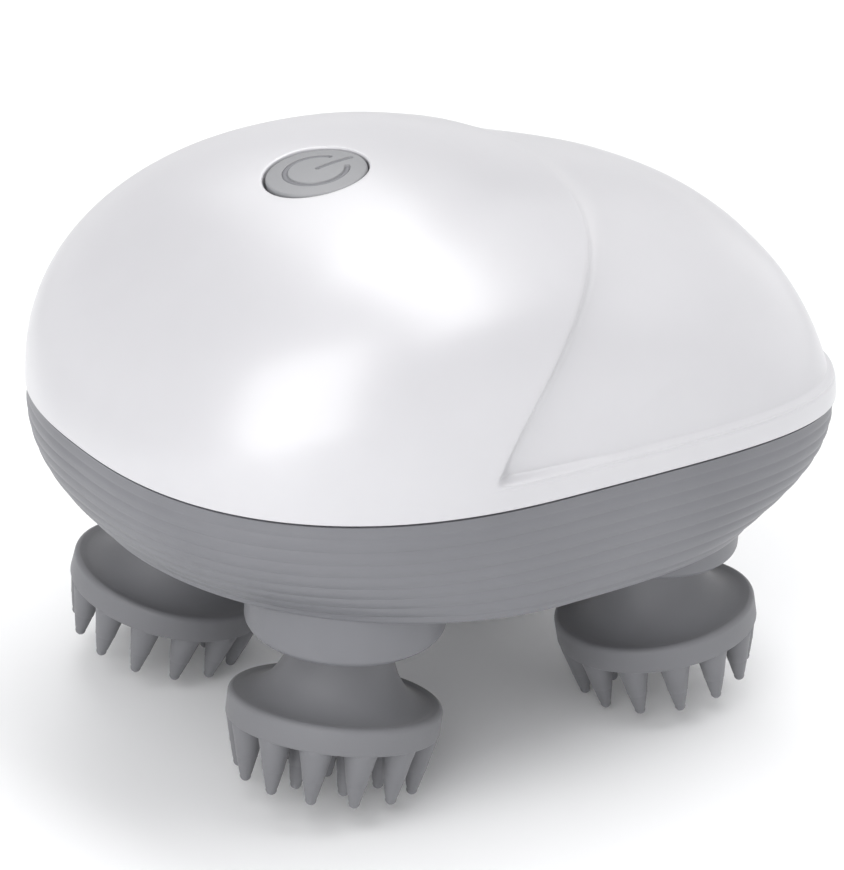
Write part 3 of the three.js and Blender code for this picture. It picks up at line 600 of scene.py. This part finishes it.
def make_shell_cutters():
    """What is cut from the shell: the heads' bores, the screws' recesses and the contact plate's seat."""
    cutters = []
    for name in HEADS:
        outline = [(0, -5), (SEAL_BORE, -5), (SEAL_BORE, 2.6), (BUSH_BORE, 2.6), (BUSH_BORE, 14.5), (0, 14.5)]
        cutters.append(place(lathe_object("bore", outline, 96), head_matrix(name)))
    for number in range(1, 5):
        x, y, _ = box_middle(f"case_screw_{number}")
        outline = [(0, -2), (3.3, -2), (3.3, 0), (3.0, 0.3), (3.0, 2.5), (1.5, 2.5), (1.5, 3.5), (0, 3.5)]
        cutter = lathe_object("screw_recess", outline, 64)
        cutters.append(place(cutter, Matrix.Translation((x, y, (PARTING_Z - FLOOR_DEPTH) * MM))))
    low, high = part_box("charge_plate")
    cutters.append(rounded_block("plate_recess", low, high, 0.3, 1.6))
    return join_objects(cutters)


def make_lower_shell():
    rows, floor_end = shell_rows()
    points = [tuple(p) for row in rows for p in row]
    faces = grid_faces(floor_end, SHELL_RAYS)
    faces += grid_faces(len(rows) - floor_end, SHELL_RAYS, offset=floor_end * SHELL_RAYS)
    faces += last_row_to_first(len(rows), SHELL_RAYS)
    for row in (floor_end - 1, floor_end):
        ring = [row * SHELL_RAYS + c for c in range(SHELL_RAYS)]
        points.append((OUTLINE_X, 0, points[ring[0]][2]))
        middle = len(points) - 1
        faces += [(ring[c], ring[(c + 1) % SHELL_RAYS], middle) for c in range(SHELL_RAYS)]
    shell = new_object("lower_case", points, faces, SHELL_ANGLE)
    boolean(shell, make_bosses(), "UNION")
    boolean(shell, make_shell_cutters(), "DIFFERENCE")
    finish_mesh(shell, SHELL_ANGLE)
    give(shell, "shell", "housing", "lower_shell")


def join_objects(objects):
    """Joins meshes that don't touch into one object."""
    bm = bmesh.new()
    for obj in objects:
        bm.from_mesh(obj.data)
    mesh = bpy.data.meshes.new("joined")
    bm.to_mesh(mesh)
    bm.free()
    for obj in objects:
        bpy.data.objects.remove(obj)
    joined = bpy.data.objects.new("joined", mesh)
    bpy.context.scene.collection.objects.link(joined)
    return joined


# ---- Contact plate and screws on the underside ----
CORNER_STEPS = 8
PIN_RADIUS = 1.2
PIN_TIP = 0.75
SCREW_RADIUS = 1.2
SCREW_HEAD_RADIUS = 2.6
SCREW_HEAD_LENGTH = 1.7
SCREW_RIM = 0.35
CROSS_HALF_LENGTH, CROSS_HALF_WIDTH, CROSS_DEPTH = 1.5, 0.28, 1.1
SCREW_TURN = 20                     # each screw's cross stands this much further round


def rounded_block(name, low, high, grow, radius, bevel=0.0):
    """A plate with round corners in plan, grown sideways by grow, from a CAD box in metres."""
    x0, y0, z0 = [c / MM for c in low]
    x1, y1, z1 = [c / MM for c in high]
    x0, y0, x1, y1 = x0 - grow, y0 - grow, x1 + grow, y1 + grow
    corners = [(x1 - radius, y1 - radius, 0), (x0 + radius, y1 - radius, 90),
               (x0 + radius, y0 + radius, 180), (x1 - radius, y0 + radius, 270)]
    levels = [(0, z0 + bevel), (0, z1)]
    if bevel:
        levels.insert(0, (bevel, z0))
    points = []
    for inset, z in levels:
        for cx, cy, start in corners:
            for i in range(CORNER_STEPS + 1):
                turn = math.radians(start + 90 * i / CORNER_STEPS)
                reach = radius - inset
                points.append((cx + reach * math.cos(turn), cy + reach * math.sin(turn), z))
    count = 4 * (CORNER_STEPS + 1)
    faces = grid_faces(len(levels), count)
    faces.append(tuple(range(count)))
    faces.append(tuple(range((len(levels) - 1) * count, len(levels) * count)))
    return new_object(name, points, faces)


def make_contact_plate():
    """The charging plate with its two pins."""
    low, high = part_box("charge_plate")
    plate = rounded_block("contact_plate", low, high, 0.0, 1.4, 0.25)
    holes = []
    for number in (1, 2):
        low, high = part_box(f"charge_pin_{number}")
        at_pin = Matrix.Translation(box_middle(f"charge_pin_{number}"))
        length = (high.z - low.z) / MM
        dome = arc(0, PIN_TIP, PIN_TIP, -90, 0, 6)
        outline = [*dome, (PIN_TIP, 0.9), (PIN_RADIUS, 0.95), (PIN_RADIUS, length), (0, length)]
        pin = place(lathe_object(f"contact_pin_{number}", outline, 48), at_pin)
        give(pin, "contact", "housing", f"charge_pin_{number}")
        holes.append(place(lathe_object("hole", [(0, -1), (1.5, -1), (1.5, 3), (0, 3)], 48), at_pin))
    boolean(plate, join_objects(holes), "DIFFERENCE")
    finish_mesh(plate)
    give(plate, "chassis", "housing", "charge_plate")


def make_case_screws():
    """Four screws with a cross recess."""
    for number in range(1, 5):
        node = f"case_screw_{number}"
        low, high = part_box(node)
        length = (high.z - low.z) / MM
        rim = arc(SCREW_HEAD_RADIUS - SCREW_RIM, SCREW_RIM, SCREW_RIM, -90, 0, 4)
        outline = [(0, 0), *rim, (SCREW_HEAD_RADIUS, SCREW_HEAD_LENGTH), (SCREW_RADIUS, SCREW_HEAD_LENGTH)]
        outline += [(SCREW_RADIUS, length - 0.7), (0, length)]
        screw = lathe_object(f"screw_{number}", outline, 64)
        blades = []
        for turn in (0, 90):
            blade_low = Vector((-CROSS_HALF_LENGTH, -CROSS_HALF_WIDTH, -1)) * MM
            blade_high = Vector((CROSS_HALF_LENGTH, CROSS_HALF_WIDTH, CROSS_DEPTH)) * MM
            blade = rounded_block("blade", blade_low, blade_high, 0, 0.1)
            blades.append(place(blade, Matrix.Rotation(math.radians(turn + SCREW_TURN * number), 4, "Z")))
        for blade in blades:
            boolean(screw, blade, "DIFFERENCE")
        finish_mesh(screw)
        place(screw, Matrix.Translation(box_middle(node)))
        give(screw, "steel", "housing", node)


def make_underside_parts():
    make_contact_plate()
    make_case_screws()


# ---- Massage heads ----
DISC_RADIUS = 15.7
DISC_TOP = 12.1
BAND_END = 15.8
TIP_END = 24.6
NECK_RADIUS = 7.7
NECK_BORE = 4.6
NECK_FLARE = 4.6                    # how far down the axis the neck begins to flare
NECK_STEPS = 18
SOCKET_RADIUS = 10                  # the hollow inside the head, where its hub sits
LIP_ROUND, FOOT_ROUND = 0.9, 0.3    # the rounding of the band's two edges
RING_FINGERS = 13
RING_PLACE = (13.25, 12.9)          # the fingers' distance from the axis at their roots and tips
RING_ROOT = 2.5
INNER_FINGERS = 7
INNER_PLACE = (8.0, 8.0)
INNER_ROOT = 1.95
FINGER_RING = (0.58, 0.95)          # the faint ring's place down the finger, and the radius it tends to
FINGER_TIP = 0.82
FINGER_ANGLE = 60
HEAD_ANGLE = 40
HEAD_TURNS = {"front_right": 7.7, "front_left": 0.0, "rear_right": 3.0, "rear_left": 0.0}
SEAL_OUTLINE = [
    (2.9, 0.7), (3.8, 0.7), (4.4, 1.0), (5.4, 1.0), (6.0, 0.7),
    (7.5, 0.7), (7.9, 1.0), (7.9, 2.3), (2.9, 2.3), (2.9, 0.7),
]


def finger(root, tip, angle, root_radius):
    """A tapered finger: a root flush with the band, a faint ring part way down and a round tip."""
    top = -BAND_END + 1.0
    length = TIP_END - BAND_END
    ring = -BAND_END - FINGER_RING[0] * length
    at_ring = root_radius + (FINGER_RING[1] - root_radius) * 0.62
    outline = [(0, top), (root_radius - 0.6, top), (root_radius - 0.3, -BAND_END + 0.4)]
    outline += [(root_radius, -BAND_END - 0.2), (root_radius - 0.12, -BAND_END - 0.9)]
    outline += [(root_radius - 0.4, -BAND_END - 0.24 * length)]
    outline += [(at_ring + 0.2, ring + 1.2), (at_ring + 0.02, ring + 0.1), (at_ring - 0.05, ring)]
    outline += [(at_ring - 0.07, ring - 0.1), (0.98, -TIP_END + 1.5)]
    outline += reversed(arc(0, -TIP_END + FINGER_TIP, FINGER_TIP, -90, 10, 10))
    outline[-1] = (0, -TIP_END)
    body = lathe_object("finger", outline, 30, FINGER_ANGLE)
    for vertex in body.data.vertices:
        share = min(1.0, max(0.0, (vertex.co.z / MM + BAND_END) / (BAND_END - TIP_END)))
        vertex.co.x += (root + (tip - root) * share) * MM
    return place(body, Matrix.Rotation(angle, 4, "Z"))


def make_head_mesh():
    """The silicone head: neck, concave top, rounded rim band, and its fingers."""
    funnel = [(NECK_BORE, -0.9), (NECK_RADIUS - 0.6, -0.9), (NECK_RADIUS - 0.2, -1.05), (NECK_RADIUS, -1.5)]
    reach, drop = DISC_RADIUS - 1.5 - NECK_RADIUS, DISC_TOP + 0.1 - NECK_FLARE
    for i in range(NECK_STEPS + 1):
        turn = math.radians(90 * i / NECK_STEPS)
        radius = NECK_RADIUS + reach * (1 - math.cos(turn)) ** 0.95
        funnel.append((radius, -NECK_FLARE - drop * math.sin(turn) ** 1.15))
    lip = arc(DISC_RADIUS - LIP_ROUND, -DISC_TOP - 0.8, LIP_ROUND, 80, 0, 8)
    foot = arc(DISC_RADIUS - FOOT_ROUND, -BAND_END, FOOT_ROUND, 0, -90, 4)
    socket = [(0, -DISC_TOP - 2.2), (SOCKET_RADIUS, -DISC_TOP - 2.2)]
    socket += [(SOCKET_RADIUS, -DISC_TOP - 0.4), (NECK_BORE, -DISC_TOP - 0.4)]
    outline = [*socket, *funnel, *lip, *foot, (0, -BAND_END - FOOT_ROUND)]
    disc = lathe_object("disc", outline, 208, HEAD_ANGLE)
    pitch = 2 * math.pi / RING_FINGERS
    inner_pitch = 2 * math.pi / INNER_FINGERS
    fingers = [finger(*RING_PLACE, i * pitch, RING_ROOT) for i in range(RING_FINGERS)]
    fingers += [finger(*INNER_PLACE, pitch + i * inner_pitch, INNER_ROOT) for i in range(INNER_FINGERS)]
    fingers.append(finger(0, 0, 0, INNER_ROOT))
    boolean(disc, join_objects(fingers), "UNION")
    finish_mesh(disc, HEAD_ANGLE)
    return disc


def make_heads():
    pattern = make_head_mesh()
    for name in HEADS:
        matrix = head_matrix(name)
        head = bpy.data.objects.new(f"massage_pad_{name}", pattern.data.copy())
        bpy.context.scene.collection.objects.link(head)
        place(head, matrix @ Matrix.Rotation(math.radians(HEAD_TURNS[name]), 4, "Z"))
        give(head, "silicone", f"head_{name}", f"massage_head_{name}")
        seal = place(lathe_object(f"lip_seal_{name}", SEAL_OUTLINE, 96), matrix)
        give(seal, "seal", "housing", f"head_seal_{name}")
    bpy.data.objects.remove(pattern)


# ---- Button ----
BUTTON_CROWN = 0.15
BUTTON_FALL = 0.55
BUTTON_EDGE = 0.4
BUTTON_RAYS = 288
BUTTON_ANGLE = 40
SKIRT_WIDTH = 2                     # the skirt that holds the button inside the cover
ICON_RADIUS = 4.5
ICON_STROKE = 0.36                  # half the stroke's width
ICON_DEPTH = 0.3
ICON_GAP = 30                       # half the ring's opening, in degrees
ICON_BAR = (0.4, 5.9)
INLAY_DEPTH = 0.1
INLAY_ANGLE = 50
INLAY_SECTION = [(-1, -0.19), (-1, -0.06), (-0.8, 0), (0, 0.01), (0.8, 0), (1, -0.06), (1, -0.19)]


def icon_depth(x, y):
    """An engraved power sign: a ring that is open towards the tail, and a bar through the opening."""
    radius = np.hypot(x, y)
    angle = np.degrees(np.abs(np.arctan2(y, x)))
    ring = np.abs(radius - ICON_RADIUS)
    gap = math.radians(ICON_GAP)
    end_x, end_y = ICON_RADIUS * math.cos(gap), ICON_RADIUS * math.sin(gap)
    ring = np.where(angle < ICON_GAP, np.hypot(x - end_x, np.abs(y) - end_y), ring)
    along = np.clip(x, *ICON_BAR)
    bar = np.hypot(x - along, y)
    nearest = np.minimum(ring, bar)
    return ICON_DEPTH * (1 - smooth(nearest, ICON_STROKE - 0.05, ICON_STROKE + 0.12))


def button_top(radius):
    """The height of the button's shallow crown."""
    return BUTTON_CROWN - BUTTON_FALL * (radius / BUTTON_RADIUS) ** 2


def make_stroke(name, path):
    """A round-ended inlay that fills the engraving along a path on the button's top."""
    direction = np.gradient(path, axis=0)
    direction /= np.linalg.norm(direction, axis=1, keepdims=True)
    side = np.stack([-direction[:, 1], direction[:, 0]], -1)
    travelled = np.concatenate([[0], np.cumsum(np.linalg.norm(np.diff(path, axis=0), axis=1))])
    from_end = np.clip(np.minimum(travelled, travelled[-1] - travelled) / ICON_STROKE, 0, 1)
    share = np.maximum(np.sqrt(1 - (1 - from_end) ** 2), 0.05)
    top = button_top(np.hypot(path[:, 0], path[:, 1])) - INLAY_DEPTH
    points = []
    for place_on_path, across, width, height in zip(path, side, share * ICON_STROKE, top):
        for reach, drop in INLAY_SECTION:
            points.append((*(place_on_path + across * reach * width), height + drop))
    sides = len(INLAY_SECTION)
    faces = grid_faces(len(path), sides)
    faces.append(tuple(range(sides)))
    faces.append(tuple((len(path) - 1) * sides + i for i in range(sides)))
    stroke = new_object(name, points, faces, INLAY_ANGLE)
    place(stroke, button_matrix())
    give(stroke, "shell", "button")


def make_power_sign():
    gap = math.radians(ICON_GAP)
    turn = np.linspace(gap, 2 * math.pi - gap, 160)
    make_stroke("power_sign_ring", np.stack([ICON_RADIUS * np.cos(turn), ICON_RADIUS * np.sin(turn)], -1))
    along = np.linspace(*ICON_BAR, 60)
    make_stroke("power_sign_bar", np.stack([along, np.zeros_like(along)], -1))


def make_button():
    ray = np.arange(BUTTON_RAYS) * 2 * math.pi / BUTTON_RAYS
    rows = []
    for radius in np.linspace(0.05, BUTTON_RADIUS - BUTTON_EDGE - 0.02, 90):
        x, y = radius * np.cos(ray), radius * np.sin(ray)
        rows.append(np.stack([x, y, button_top(radius) - icon_depth(x, y)], -1))
    edge_z = button_top(BUTTON_RADIUS - BUTTON_EDGE) - BUTTON_EDGE
    edge = arc(BUTTON_RADIUS - BUTTON_EDGE, 0, BUTTON_EDGE, 84, 0, 8)
    skirt_radius = BUTTON_RADIUS + SKIRT_WIDTH
    sides = [(radius, z + edge_z) for radius, z in edge]
    sides += [(BUTTON_RADIUS, -4.8), (skirt_radius, -4.8), (skirt_radius, -6), (2, -6), (2, -9.5)]
    for radius, z in sides:
        rows.append(np.stack([radius * np.cos(ray), radius * np.sin(ray), np.full(BUTTON_RAYS, z)], -1))
    points = [tuple(p) for row in rows for p in row]
    faces = grid_faces(len(rows), BUTTON_RAYS)
    faces.append(tuple(range(BUTTON_RAYS)))
    faces.append(tuple((len(rows) - 1) * BUTTON_RAYS + c for c in range(BUTTON_RAYS)))
    button = new_object("button_pad", points, faces, BUTTON_ANGLE)
    place(button, button_matrix())
    give(button, "button", "button", "power_button")
    make_power_sign()


make_cover()
make_lower_shell()
make_underside_parts()
make_heads()
make_button()

SLOTS = {part["node"]: part["material_slot"] for part in frame["record"]["subparts"]}
for node, obj in frame["nodes"].items():
    if not obj.hide_render:
        obj.data.materials.clear()
        obj.data.materials.append(MATERIALS[SLOTS[node]])


# ---- Studio ----
AZIMUTH = math.radians(35.8)
ELEVATION = math.radians(23.1)
ROLL = math.radians(3.2)
DISTANCE = 0.424                    # metres from the camera to the widest point's centre
LENS = 116.8                        # focal length and sensor width in millimetres
SENSOR = 36
SHIFT = (0.039, -0.067)
FLOOR_SIZE = 8
AIM_HEIGHT = 0.05                   # what the softboxes face
SKY_TINT = (0.99, 0.985, 1.0, 1)
SKY_FADE = (0.0, 0.55)              # the part of the sky over which it dims
SKY_STRENGTH = (1.0, 0.38)          # at the horizon and overhead
# name, place, direction of the first side, size and power in watts
SOFTBOXES = [
    ("key_softbox", (-0.70, -0.36, 0.56), (0.18, 0.5, 0.75), (1.2, 0.86), 7.9),
    ("top_softbox", (0.19, 0.0, 0.92), (0.2, -0.97, 0), (1.1, 0.42), 4.9),
    ("rear_softbox", (0.18, 0.58, 0.72), (1, 0, 0), (0.4, 0.4), 0.9),
    ("side_softbox", (0.80, 0.00, 0.50), (0, 1, 0), (1.0, 1.0), 1.3),
    ("front_softbox", (0.40, -0.78, 0.36), (1, 1, 0), (0.8, 0.8), 0.7),
]


def make_camera():
    data = bpy.data.cameras.new("camera")
    data.lens = LENS
    data.sensor_width = SENSOR
    data.shift_x, data.shift_y = SHIFT
    data.clip_start = 0.01
    camera = bpy.data.objects.new("camera", data)
    bpy.context.scene.collection.objects.link(camera)
    sin_a, cos_a = math.sin(AZIMUTH), math.cos(AZIMUTH)
    sin_e, cos_e = math.sin(ELEVATION), math.cos(ELEVATION)
    back = Vector((-sin_a * cos_e, -cos_a * cos_e, sin_e))
    right = Vector((cos_a, -sin_a, 0))
    up = back.cross(right)
    rolled_right = right * math.cos(ROLL) + up * math.sin(ROLL)
    rolled_up = up * math.cos(ROLL) - right * math.sin(ROLL)
    target = Vector((OUTLINE_X * MM, 0, PARTING_Z * MM))
    position = target + back * DISTANCE
    camera.matrix_world = Matrix((
        (rolled_right.x, rolled_up.x, back.x, position.x),
        (rolled_right.y, rolled_up.y, back.y, position.y),
        (rolled_right.z, rolled_up.z, back.z, position.z),
        (0, 0, 0, 1),
    ))
    bpy.context.scene.camera = camera


def make_floor():
    bpy.ops.mesh.primitive_plane_add(size=FLOOR_SIZE, location=(0, 0, 0))
    floor = bpy.context.object
    floor.name = "studio_floor"
    material, nodes, links, shader = node_material("floor_paper")
    tone = remap(nodes, links, noise(nodes, links, 3, 2), 0, 1)
    paper = mix_colour(nodes, links, tone, (0.945, 0.95, 0.955), (0.965, 0.97, 0.975))
    links.new(paper, shader.inputs["Base Color"])
    shader.inputs["Roughness"].default_value = 0.6
    floor.data.materials.append(material)


def area_light(name, location, along, size, power):
    """A softbox that faces the object, with its first side turned along a direction."""
    data = bpy.data.lights.new(name, "AREA")
    data.shape = "RECTANGLE"
    data.size, data.size_y = size
    data.energy = power
    light = bpy.data.objects.new(name, data)
    bpy.context.scene.collection.objects.link(light)
    back = (Vector(location) - Vector((0, 0, AIM_HEIGHT))).normalized()
    side = (Vector(along) - back * back.dot(Vector(along))).normalized()
    up = back.cross(side)
    turn = Matrix((side, up, back)).transposed().to_4x4()
    light.matrix_world = Matrix.Translation(location) @ turn


def make_world():
    """A soft sky that is nearly white at the horizon and dimmer overhead."""
    world = bpy.data.worlds.new("studio")
    bpy.context.scene.world = world
    world.use_nodes = True
    nodes, links = world.node_tree.nodes, world.node_tree.links
    direction = nodes.new("ShaderNodeSeparateXYZ")
    links.new(nodes.new("ShaderNodeTexCoord").outputs["Generated"], direction.inputs["Vector"])
    fade = nodes.new("ShaderNodeMapRange")
    fade.interpolation_type = "SMOOTHSTEP"
    fade.inputs["From Min"].default_value = SKY_FADE[0]
    fade.inputs["From Max"].default_value = SKY_FADE[1]
    fade.inputs["To Min"].default_value = SKY_STRENGTH[0]
    fade.inputs["To Max"].default_value = SKY_STRENGTH[1]
    links.new(direction.outputs["Z"], fade.inputs["Value"])
    background = nodes["Background"]
    background.inputs["Color"].default_value = SKY_TINT
    links.new(fade.outputs["Result"], background.inputs["Strength"])


def make_studio():
    make_floor()
    for softbox in SOFTBOXES:
        area_light(*softbox)
    make_world()
    bpy.context.scene.view_settings.view_transform = "Standard"


make_camera()
make_studio()
